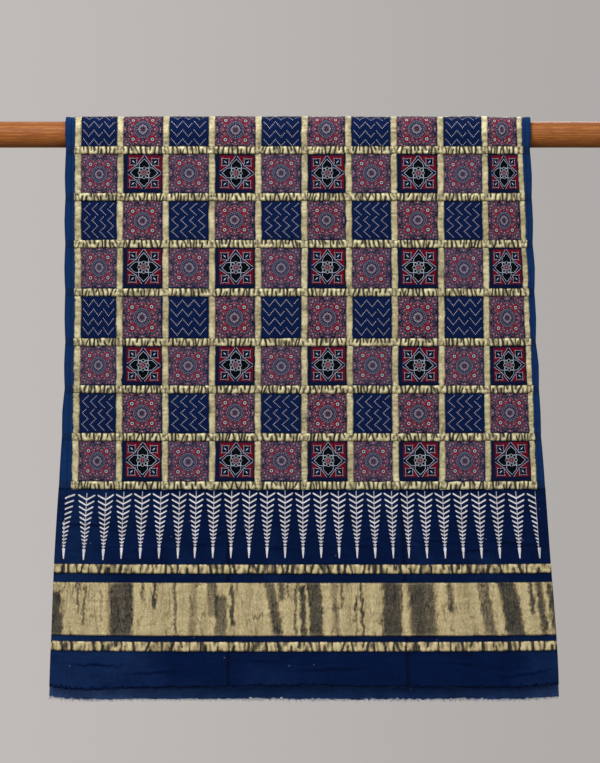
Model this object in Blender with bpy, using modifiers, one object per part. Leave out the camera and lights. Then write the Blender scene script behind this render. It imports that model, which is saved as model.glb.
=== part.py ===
"""Ajrakh patchwork cloth folded over a plain round wooden rod.

Frame: the origin is the middle of the rod's axis. +X runs along the rod, +Z is up, and the cloth's
front half hangs on the -Y side. A place along the cloth is its run: the length of cloth from the
gathered strip at its middle, positive towards the front hem and negative towards the back hem.
"""
import math
from collections import namedtuple

import bmesh
import bpy
import numpy as np

# Rod
ROD_DIAMETER = 0.050
ROD_LENGTH = 1.200
ROD_SIDES = 72
ROD_EDGE_BEVEL = 0.0015

# Cloth along its length, each measured as a run from the strip at the middle
PATCHWORK_END = 0.7356
HEM = 1.1116
MIDDLE_BEHIND_CREST = 0.0115  # the middle strip lies just behind the top of the rod
Band = namedtuple("Band", "name start end")
BANDS = (
    Band("upper_band", 0.8777, 0.8954),
    Band("wide_band", 0.9125, 1.0141),
    Band("lower_band", 1.0251, 1.0434),
)

# Cloth across its width
LEFT_BORDER_WIDTH = 0.0140
RIGHT_BORDER_WIDTH = 0.0125

# Thicknesses and gaps
FIELD_THICKNESS = 0.0024
BORDER_THICKNESS = 0.0018
PANEL_THICKNESS = 0.0018
BAND_THICKNESS = 0.0012
ROD_CLEARANCE = 0.0038
SEAM_GAP = 0.0005
BAND_GAP = 0.0005

# Profile: the two halves leave the rod upright and draw together as they hang
CLOTH_RADIUS = ROD_DIAMETER / 2 + ROD_CLEARANCE + FIELD_THICKNESS / 2
QUARTER_TURN = CLOTH_RADIUS * math.pi / 2
HEM_FROM_MIDDLE = 0.0080
DRAWN_TOGETHER_DROP = 0.80

# Side edges of the hanging cloth: it is drawn in at the gathered strips and flares to the hem
Edge = namedtuple("Edge", "drop left right")
EDGES = (
    Edge(0.000, -0.4440, 0.4365),
    Edge(0.031, -0.4430, 0.4352),
    Edge(0.080, -0.4448, 0.4385),
    Edge(0.120, -0.4440, 0.4385),
    Edge(0.165, -0.4456, 0.4408),
    Edge(0.209, -0.4445, 0.4405),
    Edge(0.255, -0.4460, 0.4445),
    Edge(0.300, -0.4448, 0.4440),
    Edge(0.350, -0.4458, 0.4470),
    Edge(0.395, -0.4448, 0.4468),
    Edge(0.440, -0.4468, 0.4522),
    Edge(0.485, -0.4462, 0.4530),
    Edge(0.530, -0.4505, 0.4558),
    Edge(0.576, -0.4515, 0.4572),
    Edge(0.665, -0.4570, 0.4645),
    Edge(0.734, -0.4617, 0.4695),
    Edge(0.810, -0.4662, 0.4750),
    Edge(0.880, -0.4690, 0.4805),
    Edge(0.943, -0.4712, 0.4855),
    Edge(1.000, -0.4738, 0.4890),
    Edge(1.080, -0.4765, 0.4920),
)

# A column of a sheet: a share of the cloth's width from its left edge, and a shift in metres from there
Column = namedtuple("Column", "share shift")

# Folds of the hanging cloth: where each lies across the width, how far it stands out and how wide it is
Fold = namedtuple("Fold", "across height half_width")
FOLDS = (
    Fold(0.015, 0.0010, 0.018),
    Fold(0.070, 0.0046, 0.030),
    Fold(0.202, 0.0036, 0.034),
    Fold(0.266, 0.0020, 0.024),
    Fold(0.349, 0.0030, 0.018),
    Fold(0.396, 0.0042, 0.036),
    Fold(0.480, 0.0026, 0.030),
    Fold(0.567, 0.0036, 0.034),
    Fold(0.634, 0.0022, 0.026),
    Fold(0.708, 0.0030, 0.018),
    Fold(0.806, 0.0052, 0.040),
    Fold(0.881, 0.0026, 0.026),
    Fold(0.955, 0.0040, 0.030),
)
FOLDS_START_DROP = 0.25
PRESSED_CREASES = (0.349, 0.708)
SIDE_RISE = 0.0025  # how much less deep the cloth hangs at its two sides

# Hems: how far the front and back ones reach past the even hem line, across the width
Hem = namedtuple("Hem", "across front back")
HEMS = (
    Hem(0.000, -0.0005, -0.0021),
    Hem(0.035, 0.0043, 0.0010),
    Hem(0.070, 0.0066, 0.0030),
    Hem(0.160, 0.0020, 0.0004),
    Hem(0.430, -0.0023, -0.0006),
    Hem(0.500, -0.0038, 0.0004),
    Hem(0.750, 0.0000, 0.0002),
    Hem(0.930, 0.0018, 0.0012),
    Hem(1.000, -0.0042, -0.0030),
)

# Mesh density
FIELD_COLUMNS = 20
BORDER_COLUMNS = 1
PANEL_COLUMNS = 32
TURN_ROWS = 10
HANGING_ROWS = 14


def drop_of(run):
    """How far below the rod's axis a run of cloth hangs, taken down either side; negative on the rod."""
    return abs(run - MIDDLE_BEHIND_CREST) - QUARTER_TURN


def read(table, key, value, field):
    """A field of a table between its rows, which stand in the order of their key."""
    keys = [getattr(row, key) for row in table]
    return float(np.interp(value, keys, [getattr(row, field) for row in table]))


def ease(share):
    """A soft change from 0 to 1."""
    share = min(max(share, 0.0), 1.0)
    return share * share * (3 - 2 * share)


def grown(drop):
    """How much of their full size the folds have at a drop."""
    return min(max((drop - FOLDS_START_DROP) / (1 - FOLDS_START_DROP), 0.0), 1.0)


def standing_out(across, width, back):
    """How far the full folds carry the cloth away from the rod. The back half's are mirrored."""
    place = 1 - across if back else across
    total = 0.0
    for fold in FOLDS:
        away = abs(place - fold.across) * width / fold.half_width
        if away < 1:
            total += fold.height * (1 + math.cos(math.pi * away)) / 2
    return total


def hem_share(run):
    """How far down the hem panel a run lies: 0 at the lowest band, 1 at the hem."""
    return max(abs(run) - BANDS[-1].end, 0.0) / (HEM - BANDS[-1].end)


def drape(run, column, lift):
    """The point of the draped cloth at a run and a column; lift is how far it lies off the cloth's middle."""
    from_crest = run - MIDDLE_BEHIND_CREST
    drop = drop_of(run)
    left = read(EDGES, "drop", drop, "left")
    width = read(EDGES, "drop", drop, "right") - left
    x = left + column.share * width + column.shift
    if drop < 0:
        angle = from_crest / CLOTH_RADIUS
        radius = CLOTH_RADIUS + lift
        return x, -radius * math.sin(angle), radius * math.cos(angle)
    back = from_crest < 0
    across = (x - left) / width
    drawn = ease(drop / DRAWN_TOGETHER_DROP) * (CLOTH_RADIUS - HEM_FROM_MIDDLE)
    out = CLOTH_RADIUS - drawn + lift + standing_out(across, width, back) * grown(drop)
    dip = read(HEMS, "across", across, "back" if back else "front") * hem_share(run)
    rise = SIDE_RISE * (2 * across - 1) ** 4 * grown(drop)
    return x, out if back else -out, rise - dip - drop


def even(start, end, count):
    """Values at even steps, both ends included."""
    return [float(value) for value in np.linspace(start, end, count + 1)]


def columns_between(start, end, count):
    """Evenly spaced columns from one column to another."""
    shares = even(start.share, end.share, count)
    shifts = even(start.shift, end.shift, count)
    return [Column(*pair) for pair in zip(shares, shifts)]


def snapped(columns, places):
    """The columns with the nearest one moved to each place, so that a pressed crease has its own line."""
    columns = list(columns)
    for place in places:
        nearest = min(range(len(columns)), key=lambda i: abs(columns[i].share - place))
        columns[nearest] = Column(place, 0)
    return columns


def cloth_material(name, color, roughness, metallic=0.0):
    material = bpy.data.materials.new(name)
    material.use_nodes = True
    shader = material.node_tree.nodes["Principled BSDF"]
    shader.inputs["Base Color"].default_value = (*color, 1)
    shader.inputs["Roughness"].default_value = roughness
    shader.inputs["Metallic"].default_value = metallic
    material.diffuse_color = (*color, 1)
    return material


def sheet(name, rows, columns, thickness, material, lift=0.0):
    """A draped sheet: a flat grid carried onto the drape row by row, then given its thickness."""
    mesh = bpy.data.meshes.new(name)
    shape = bmesh.new()
    bmesh.ops.create_grid(shape, x_segments=len(columns) - 1, y_segments=len(rows) - 1, size=0.5)
    for vertex in shape.verts:
        column = round((vertex.co.x + 0.5) * (len(columns) - 1))
        row = round((vertex.co.y + 0.5) * (len(rows) - 1))
        vertex.co = drape(rows[row], columns[column], lift)
    for face in shape.faces:
        face.smooth = True
    shape.to_mesh(mesh)
    shape.free()
    mesh.materials.append(material)
    piece = bpy.data.objects.new(name, mesh)
    collection.objects.link(piece)
    wall = piece.modifiers.new("thickness", "SOLIDIFY")
    wall.thickness = thickness
    wall.offset = 0
    return piece


for thing in list(bpy.data.objects):
    bpy.data.objects.remove(thing)
collection = bpy.data.collections.new("ajrakh_cloth_on_rod")
bpy.context.scene.collection.children.link(collection)

WOOD = cloth_material("oiled_wood", (0.36, 0.15, 0.055), 0.45)
PATCHES = cloth_material("block_printed_patches", (0.20, 0.07, 0.10), 0.75)
NAVY = cloth_material("indigo_cotton", (0.008, 0.020, 0.075), 0.75)
BLUE = cloth_material("blue_border_cotton", (0.012, 0.055, 0.17), 0.7)
ZARI = cloth_material("gold_zari_tissue", (0.55, 0.46, 0.22), 0.4, 0.5)

# Rod: one turned pole, its sharp ends just broken
bpy.ops.mesh.primitive_cylinder_add(
    vertices=ROD_SIDES, radius=ROD_DIAMETER / 2, depth=ROD_LENGTH, rotation=(0, math.pi / 2, 0)
)
rod = bpy.context.object
rod.name = "rod"
rod.data.materials.append(WOOD)
for holder in list(rod.users_collection):
    holder.objects.unlink(rod)
collection.objects.link(rod)
rod.data.shade_smooth()
rod.data.set_sharp_from_angle(angle=math.radians(40))
broken_edge = rod.modifiers.new("broken_edge", "BEVEL")
broken_edge.width = ROD_EDGE_BEVEL
broken_edge.segments = 2
broken_edge.limit_method = "ANGLE"

# Patchwork field and its side borders: from one end panel up, over the rod and down to the other
front_of_turn = MIDDLE_BEHIND_CREST + QUARTER_TURN
back_of_turn = MIDDLE_BEHIND_CREST - QUARTER_TURN
field_rows = (
    even(PATCHWORK_END, front_of_turn, HANGING_ROWS)[:-1]
    + even(front_of_turn, back_of_turn, TURN_ROWS)
    + even(back_of_turn, -PATCHWORK_END, HANGING_ROWS)[1:]
)
field_left = Column(0, LEFT_BORDER_WIDTH + SEAM_GAP)
field_right = Column(1, -RIGHT_BORDER_WIDTH - SEAM_GAP)
field_columns = columns_between(field_left, field_right, FIELD_COLUMNS)
sheet("patchwork_field", field_rows, field_columns, FIELD_THICKNESS, PATCHES)
left_columns = columns_between(Column(0, 0), Column(0, LEFT_BORDER_WIDTH), BORDER_COLUMNS)
sheet("side_border_left", field_rows, left_columns, BORDER_THICKNESS, BLUE)
right_columns = columns_between(Column(1, -RIGHT_BORDER_WIDTH), Column(1, 0), BORDER_COLUMNS)
sheet("side_border_right", field_rows, right_columns, BORDER_THICKNESS, BLUE)

# End panels, and the gold bands sewn on them
panel_columns = snapped(columns_between(Column(0, 0), Column(1, 0), PANEL_COLUMNS), PRESSED_CREASES)
band_lift = PANEL_THICKNESS / 2 + BAND_GAP + BAND_THICKNESS / 2
for end, way in (("front", 1), ("back", -1)):
    stations = [PATCHWORK_END + SEAM_GAP, 0.5 * (PATCHWORK_END + BANDS[0].start)]
    for band in BANDS:
        stations += [band.start, band.end]
    stations.insert(5, 0.5 * (BANDS[1].start + BANDS[1].end))
    stations += [0.5 * (BANDS[-1].end + HEM), HEM]
    sheet(f"end_panel_{end}", [way * s for s in stations], panel_columns, PANEL_THICKNESS, NAVY)
    for band in BANDS:
        rows = [way * s for s in stations if band.start <= s <= band.end]
        sheet(f"{band.name}_{end}", rows, panel_columns, BAND_THICKNESS, ZARI, lift=band_lift)
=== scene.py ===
"""Looks of the ajrakh patchwork cloth that hangs over its plain wooden rod.

Frame: the origin is the middle of the rod's axis, +X runs along the rod, +Z is up and the cloth's front
half hangs on the -Y side. A place along the cloth is its run: the length of cloth from the gathered strip
at its middle, positive towards the front hem and negative towards the back hem.
"""

import math
from collections import namedtuple

import bmesh
import bpy
import numpy as np
from mathutils import Matrix, Vector


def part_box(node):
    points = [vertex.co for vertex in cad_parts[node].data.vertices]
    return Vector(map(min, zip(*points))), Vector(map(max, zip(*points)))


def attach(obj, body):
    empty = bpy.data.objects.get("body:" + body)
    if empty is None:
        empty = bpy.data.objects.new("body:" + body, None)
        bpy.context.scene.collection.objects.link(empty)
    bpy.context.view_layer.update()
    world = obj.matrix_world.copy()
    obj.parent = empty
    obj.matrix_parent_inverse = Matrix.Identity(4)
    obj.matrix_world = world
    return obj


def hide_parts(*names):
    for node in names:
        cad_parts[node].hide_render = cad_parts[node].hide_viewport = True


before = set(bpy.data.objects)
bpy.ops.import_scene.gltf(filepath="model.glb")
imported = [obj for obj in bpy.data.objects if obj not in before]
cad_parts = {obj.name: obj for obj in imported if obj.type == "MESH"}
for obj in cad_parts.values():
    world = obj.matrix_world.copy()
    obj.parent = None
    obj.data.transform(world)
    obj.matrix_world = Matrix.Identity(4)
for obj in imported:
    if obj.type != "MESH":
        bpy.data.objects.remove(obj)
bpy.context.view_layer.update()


# ---- Rod
# One softwood pole, turned round, stained reddish brown, sanded and wiped with oil. Its sharp ends are just
# broken, and it runs past the cloth on both sides, where a wall or stand would take it.
ROD_SEGMENTS = 112
ROD_RINGS = 30
ROD_EDGE = 0.0015
ROD_UNEVENNESS = 0.00012  # how far hand sanding leaves the turned face off round
WOOD_MID = "#a9642c"
WOOD_DARK = "#6e3a18"
WOOD_LIGHT = "#c98a48"
WOOD_RING = "#8f5227"
WOOD_PORE = "#4a2512"
RING_SPACING = 0.0034  # between the yearly rings, where the turned face cuts across them
FIBRE_WIDTH = 0.0011  # coarser than real fibres, so that the grain still shows from across a room


def linear(colour):
    """An sRGB hex colour as linear red, green, blue and full alpha."""
    parts = [int(colour[place : place + 2], 16) / 255 for place in (1, 3, 5)]
    return [part / 12.92 if part <= 0.04045 else ((part + 0.055) / 1.055) ** 2.4 for part in parts] + [1]


def feed(tree, socket, source):
    """Gives a socket its source: a node's live output, an output, a colour, a number, or None to leave it."""
    if isinstance(source, bpy.types.Node):
        source = next(output for output in source.outputs if output.enabled)
    if isinstance(source, bpy.types.NodeSocket):
        tree.links.new(source, socket)
    elif isinstance(source, str):
        socket.default_value = linear(source)
    elif source is not None:
        socket.default_value = source


def add(tree, kind, *sources, stops=(), **settings):
    """Adds a node with its settings, then feeds its inputs in order. A kind such as Math.ADD or Mix.RGBA
    also names its operation, data type or interpolation."""
    kind, _, variant = kind.partition(".")
    node = tree.nodes.new("ShaderNode" + kind)
    if variant:
        settings[{"Mix": "data_type", "MapRange": "interpolation_type"}.get(kind, "operation")] = variant
    for name, value in settings.items():
        setattr(node, name, value)
    if stops:
        ramp = node.color_ramp
        while len(ramp.elements) < len(stops):
            ramp.elements.new(1)
        for element, (place, colour) in zip(ramp.elements, stops):
            element.position = place
            element.color = linear(colour)
    for socket, source in zip([socket for socket in node.inputs if socket.enabled], sources):
        feed(tree, socket, source)
    return node


def finish_for(name, roughness, metallic=0.0, specular=0.5):
    """A material with its node tree and its shader, and the numbers that are the same all over it."""
    material = bpy.data.materials.new(name)
    material.use_nodes = True
    shader = material.node_tree.nodes["Principled BSDF"]
    shader.inputs["Roughness"].default_value = roughness
    shader.inputs["Metallic"].default_value = metallic
    shader.inputs["Specular IOR Level"].default_value = specular
    return material, material.node_tree, shader


def oiled_softwood():
    """Stained softwood under oil: warm brown, darker yearly rings, fine fibres and pores, a soft shine."""
    material, tree, shader = finish_for("stained_oiled_softwood", 0.5, specular=0.22)
    place = add(tree, "TexCoord").outputs["Object"]
    along_grain = add(tree, "Mapping", place, None, None, (2.2, 26, 26))
    sway = add(tree, "TexNoise", along_grain, 1, 2, 0.5)
    from_pith = add(tree, "Mapping", place, (0, -0.021, 0.034), None, (0, 1, 1))
    radius = add(tree, "VectorMath.LENGTH", from_pith).outputs["Value"]
    swayed = add(tree, "Math.MULTIPLY_ADD", sway, 0.012, radius)
    ring = add(tree, "Math.SINE", add(tree, "Math.MULTIPLY", swayed, 2 * math.pi / RING_SPACING))
    soft_ring = add(tree, "MapRange.SMOOTHSTEP", ring, -1, 1, 0.0, 1.0)
    fibres = add(tree, "Mapping", place, None, None, (0.045 / FIBRE_WIDTH, 1 / FIBRE_WIDTH, 1 / FIBRE_WIDTH))
    fibre = add(tree, "TexNoise", fibres, 1, 3, 0.6)
    pore = add(tree, "TexNoise", add(tree, "Mapping", place, None, None, (90, 2100, 2100)), 1, 1, 0.5)
    body = add(tree, "ValToRGB", fibre, stops=((0.30, WOOD_DARK), (0.50, WOOD_MID), (0.72, WOOD_LIGHT)))
    ringed = add(tree, "Mix.RGBA", soft_ring, body, WOOD_MID)
    ring_share = add(tree, "Math.MULTIPLY", soft_ring, 0.35)
    darker = add(tree, "Mix.RGBA", ring_share, ringed, WOOD_RING, blend_type="MULTIPLY")
    pore_mask = add(tree, "MapRange", pore, 0.66, 0.74, 0.0, 0.55)
    feed(tree, shader.inputs["Base Color"], add(tree, "Mix.RGBA", pore_mask, darker, WOOD_PORE))
    relief = add(tree, "Math.SUBTRACT", fibre, pore_mask)
    feed(tree, shader.inputs["Normal"], add(tree, "Bump", 0.25, 0.0006, None, relief))
    return material


def wander(x, y, size, seed):
    """A smooth unevenness from about -1 to 1 over a surface, with swells about size across."""
    random = np.random.default_rng(seed)
    total = 0
    for turn, phase, stretch in random.uniform((0, 0, 0.6), (math.pi, 2 * math.pi, 1.5), (8, 3)):
        along = x * math.cos(turn) + y * math.sin(turn)
        total = total + np.sin(along * 2 * math.pi * stretch / size + phase)
    return total / 3.2


def piece_of(name, mesh):
    """Makes the object of a mesh, linked, riding on the one body and taking its finish from a slot."""
    piece = bpy.data.objects.new(name, mesh)
    bpy.context.scene.collection.objects.link(piece)
    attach(piece, "root")
    return piece


rod_low, rod_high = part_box("rod")
rod_length = rod_high[0] - rod_low[0]
rod_radius = (rod_high[2] - rod_low[2]) / 2
shape = bmesh.new()
bmesh.ops.create_cone(
    shape,
    cap_ends=True,
    segments=ROD_SEGMENTS,
    radius1=rod_radius,
    radius2=rod_radius,
    depth=rod_length,
    matrix=Matrix.Rotation(math.pi / 2, 4, "Y"),
)
for ring in range(1, ROD_RINGS):
    bmesh.ops.bisect_plane(
        shape,
        geom=shape.verts[:] + shape.edges[:] + shape.faces[:],
        plane_co=(rod_low[0] + rod_length * ring / ROD_RINGS, 0, 0),
        plane_no=(1, 0, 0),
    )
for vertex in shape.verts:
    swell = wander(vertex.co.x, math.atan2(vertex.co.y, vertex.co.z) * 0.02, 0.11, 3)
    inward = 1 - ROD_UNEVENNESS * (1.3 + float(swell)) / rod_radius
    vertex.co.y *= inward
    vertex.co.z *= inward
end_edges = [
    edge for edge in shape.edges if all(abs(abs(v.co.x) - rod_length / 2) < 1e-5 for v in edge.verts)
]
bmesh.ops.bevel(shape, geom=end_edges, offset=ROD_EDGE, segments=3, profile=0.5, affect="EDGES", material=-1)
for face in shape.faces:
    face.smooth = len(face.verts) == 4
rod_mesh = bpy.data.meshes.new("turned_rod")
shape.to_mesh(rod_mesh)
shape.free()
rod_mesh.materials.append(oiled_softwood())
rod = piece_of("turned_rod", rod_mesh)
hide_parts("rod")


# ---- Hang of the cloth
# The cloth lies over the rod about at its middle. Its two halves leave the rod upright, draw together as
# they hang, flare a little to the hem, and swell in broad soft folds that grow downwards.
PATCHWORK_END = 0.7356  # a run, as are the hem and the ends of the bands
HEM = 1.1116
MIDDLE_BEHIND_CREST = 0.0115
Band = namedtuple("Band", "name start end")
BANDS = (
    Band("upper_band", 0.8777, 0.8954),
    Band("wide_band", 0.9125, 1.0141),
    Band("lower_band", 1.0251, 1.0434),
)
ROD_CLEARANCE = 0.0038
FIELD_THICKNESS = 0.0024
CLOTH_RADIUS = rod_radius + ROD_CLEARANCE + FIELD_THICKNESS / 2
QUARTER_TURN = CLOTH_RADIUS * math.pi / 2
HEM_FROM_MIDDLE = 0.0080
DRAWN_TOGETHER_DROP = 0.80  # below this the halves hang side by side
FOLDS_START_DROP = 0.25
SIDE_RISE = 0.0025  # how much higher the cloth's corners hang than its middle
SIDE_FOLD = 0.0021  # the folded edges bulge a little past the cloth's solid
LOOSE_OVER_ROD = 0.0036  # the seams keep the cloth a little off the top of the rod

Edge = namedtuple("Edge", "drop left right")
EDGES = (  # the cloth's sides, a little drawn in at each gathered strip
    Edge(0.000, -0.4440, 0.4365),
    Edge(0.031, -0.4430, 0.4352),
    Edge(0.080, -0.4448, 0.4385),
    Edge(0.120, -0.4440, 0.4385),
    Edge(0.165, -0.4456, 0.4408),
    Edge(0.209, -0.4445, 0.4405),
    Edge(0.255, -0.4460, 0.4445),
    Edge(0.300, -0.4448, 0.4440),
    Edge(0.350, -0.4458, 0.4470),
    Edge(0.395, -0.4448, 0.4468),
    Edge(0.440, -0.4468, 0.4522),
    Edge(0.485, -0.4462, 0.4530),
    Edge(0.530, -0.4505, 0.4558),
    Edge(0.576, -0.4515, 0.4572),
    Edge(0.665, -0.4570, 0.4645),
    Edge(0.734, -0.4617, 0.4695),
    Edge(0.810, -0.4662, 0.4750),
    Edge(0.880, -0.4690, 0.4805),
    Edge(0.943, -0.4712, 0.4855),
    Edge(1.000, -0.4738, 0.4890),
    Edge(1.080, -0.4765, 0.4920),
)
Fold = namedtuple("Fold", "across height half_width")
FOLDS = (  # across is a share of the width, and height is at the hem
    Fold(0.015, 0.0010, 0.018),
    Fold(0.070, 0.0046, 0.030),
    Fold(0.202, 0.0036, 0.034),
    Fold(0.266, 0.0020, 0.024),
    Fold(0.349, 0.0030, 0.018),
    Fold(0.396, 0.0042, 0.036),
    Fold(0.480, 0.0026, 0.030),
    Fold(0.567, 0.0036, 0.034),
    Fold(0.634, 0.0022, 0.026),
    Fold(0.708, 0.0030, 0.018),
    Fold(0.806, 0.0052, 0.040),
    Fold(0.881, 0.0026, 0.026),
    Fold(0.955, 0.0040, 0.030),
)
Hem = namedtuple("Hem", "across front back")
HEMS = (  # how far each hem dips below the level
    Hem(0.000, -0.0005, -0.0021),
    Hem(0.035, 0.0043, 0.0010),
    Hem(0.070, 0.0066, 0.0030),
    Hem(0.160, 0.0020, 0.0004),
    Hem(0.430, -0.0023, -0.0006),
    Hem(0.500, -0.0038, 0.0004),
    Hem(0.750, 0.0000, 0.0002),
    Hem(0.930, 0.0018, 0.0012),
    Hem(1.000, -0.0042, -0.0030),
)


def drop_of(run):
    """How far below the rod's axis a run of cloth hangs, down either side; negative on the rod."""
    return np.abs(run - MIDDLE_BEHIND_CREST) - QUARTER_TURN


def read(table, value, field):
    """A field of a table at a value of the table's first column."""
    return np.interp(value, [row[0] for row in table], [getattr(row, field) for row in table])


def sides(run):
    """Where the cloth's left and right edges are at a run."""
    drop = drop_of(run)
    return read(EDGES, drop, "left") - SIDE_FOLD, read(EDGES, drop, "right") + SIDE_FOLD


def ease(share):
    """A soft change from 0 to 1."""
    share = np.clip(share, 0, 1)
    return share * share * (3 - 2 * share)


def drape(run, x, lift):
    """Points of the hanging cloth at runs and at places along the rod; lift is how far off its middle."""
    from_crest = run - MIDDLE_BEHIND_CREST
    drop = drop_of(run)
    left, right = sides(run)
    across = (x - left) / (right - left)
    back = from_crest < 0
    place = np.where(back, 1 - across, across)
    folds = 0
    for fold in FOLDS:
        away = np.clip(np.abs(place - fold.across) * (right - left) / fold.half_width, 0, 1)
        folds = folds + fold.height * (1 + np.cos(math.pi * away)) / 2
    grown = np.clip((drop - FOLDS_START_DROP) / (1 - FOLDS_START_DROP), 0, 1)
    drawn = ease(drop / DRAWN_TOGETHER_DROP) * (CLOTH_RADIUS - HEM_FROM_MIDDLE)
    out = CLOTH_RADIUS - drawn + lift + folds * grown
    hem_share = np.clip((np.abs(run) - BANDS[-1].end) / (HEM - BANDS[-1].end), 0, 1)
    dip = np.where(back, read(HEMS, across, "back"), read(HEMS, across, "front")) * hem_share
    rise = SIDE_RISE * np.clip(2 * across - 1, -1, 1) ** 4 * grown
    angle = from_crest / CLOTH_RADIUS
    on_rod = drop < 0
    loose = LOOSE_OVER_ROD * (1 + 0.2 * wander(x, 0 * x, 0.15, 13) - 0.3 * (2 * across - 1) ** 4)
    radius = CLOTH_RADIUS + lift + loose * np.cos(angle) ** 2
    y = np.where(on_rod, -radius * np.sin(angle), np.where(back, out, -out))
    z = np.where(on_rod, radius * np.cos(angle), rise - dip - drop)
    return np.stack([x + 0 * run, y, z], axis=1)


# ---- Printed patches
# Squares cut from three ajrakh prints: indigo with dotted zigzags, a dense madder and indigo medallion,
# and a white-outlined star on madder. Each is turned under and seamed to the gold strips on its four sides.
GATHERS = (0.0, 0.0898, 0.1787, 0.2678, 0.3599, 0.4546, 0.5444, 0.6353, 0.7272)  # runs of the gathers
GATHER_WIDTH = 0.0150
Upright = namedtuple("Upright", "top middle bottom width")
UPRIGHTS = (  # where the upright strips' middles are, left to right
    Upright(-0.4216, -0.4222, -0.4286, 0.0132),
    Upright(-0.3411, -0.3432, -0.3452, 0.0126),
    Upright(-0.2546, -0.2558, -0.2571, 0.0126),
    Upright(-0.1672, -0.1673, -0.1674, 0.0126),
    Upright(-0.0789, -0.0798, -0.0806, 0.0126),
    Upright(0.0087, 0.0085, 0.0084, 0.0126),
    Upright(0.0916, 0.0940, 0.0965, 0.0126),
    Upright(0.1782, 0.1805, 0.1828, 0.0126),
    Upright(0.2668, 0.2690, 0.2713, 0.0126),
    Upright(0.3507, 0.3547, 0.3587, 0.0122),
    Upright(0.4166, 0.4312, 0.4458, 0.0106),
)
UPRIGHTS_END_DROP = 0.670
SEAM_TURNING = 0.003  # how far a patch reaches under each strip beside it
PATCH_HALF = 36.5  # millimetres: the prints are drawn to half a patch
PRINT_SLIDE = 1.2  # millimetres by which a patch was cut off the middle of its figure
PRINT_TWIST = 0.022
STAR_SLIDE = (-1.6, -1.4)  # the star's square sits right and above, with more indigo on its other sides
CREST_SLIDE = 5.2  # the figures next to the rod were cut to sit lower
PATCH_THICKNESS = 0.0009
PATCH_PUFF = 0.0020
PATCH_LIFT = 0.0001
PATCH_BUCKLE = 0.00045
PUCKER = 0.0006  # ripples that the gathered seams leave along a patch's level sides
PUCKER_LENGTH = 0.0098
NAVY = "#071a42"
INDIGO_DEEP = "#06122e"
DOT_WHITE = "#cdc2ca"


def upright_x(number, run):
    """Where the middle of an upright strip is at a run."""
    upright = UPRIGHTS[number]
    share = np.clip(drop_of(run) / UPRIGHTS_END_DROP, 0, 1)
    return np.interp(share, (0, 0.5, 1), (upright.top, upright.middle, upright.bottom))


def cloth(name, grids, materials, thickness):
    """One piece of draped cloth from grids, each (columns, rows, material, place). place takes where a vertex
    is across and down its grid and gives its run, x and lift, its print map in millimetres and its tone."""
    shape = bmesh.new()
    flat_map = shape.loops.layers.uv.new("flat")
    print_map = shape.loops.layers.uv.new("print")
    tone_layer = shape.verts.layers.float.new("tone")
    for columns, rows, material, place in grids:
        made = bmesh.ops.create_grid(shape, x_segments=columns, y_segments=rows, size=0.5)["verts"]
        flat = np.array([vertex.co[:2] for vertex in made]) + 0.5
        run, x, lift, print_place, tone = place(flat[:, 0], flat[:, 1])
        points = drape(run, x, lift).tolist()
        tones = np.broadcast_to(tone, run.shape).tolist()
        flat_places = (np.stack([x, -run], axis=1) * 1000).tolist()
        print_places = np.stack(np.broadcast_arrays(*print_place), axis=1).tolist()
        for vertex, point, tone, flat_at, print_at in zip(made, points, tones, flat_places, print_places):
            vertex.co = point
            vertex[tone_layer] = tone
            for loop in vertex.link_loops:
                loop[flat_map].uv = flat_at
                loop[print_map].uv = print_at
            for face in vertex.link_faces:
                face.material_index = material
    for face in shape.faces:
        face.smooth = True
    mesh = bpy.data.meshes.new(name)
    shape.to_mesh(mesh)
    shape.free()
    for material in materials:
        mesh.materials.append(material)
    piece = piece_of(name, mesh)
    wall = piece.modifiers.new("thickness", "SOLIDIFY")
    wall.thickness = thickness
    wall.offset = -1
    return piece


def woven(tree, shader, colour, slub, relief, thread=1.1):
    """Plain-woven cotton over a dyed colour: uneven threads both ways, as tint and as relief. thread is the
    width of a slub in millimetres, several real threads side by side, so that it shows across a room."""
    flat = add(tree, "UVMap", uv_map="flat")
    warp, weft = [
        add(tree, "TexNoise", add(tree, "Mapping", flat, None, None, stretch), 1, 2, 0.6)
        for stretch in ((1 / thread, 0.1 / thread, 1), (0.1 / thread, 1 / thread, 1))
    ]
    threads = add(tree, "Math.ADD", warp, weft)
    fade = add(tree, "TexNoise", flat, 0.028, 3, 0.55)
    both = add(tree, "Math.MULTIPLY_ADD", fade, 0.9, threads)
    strength = add(tree, "MapRange", both, 0.95, 1.95, 1 - slub, 1 + slub)
    feed(tree, shader.inputs["Base Color"], add(tree, "HueSaturation", 0.5, 1.0, strength, 1.0, colour))
    feed(tree, shader.inputs["Normal"], add(tree, "Bump", relief, 0.0005, None, threads))


def laid_over(tree, ground, layers):
    """A ground with its layers printed over it in order, each a mask and a colour."""
    for mask, colour in layers:
        ground = add(tree, "Mix.RGBA", mask, ground, colour)
    return ground


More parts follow.
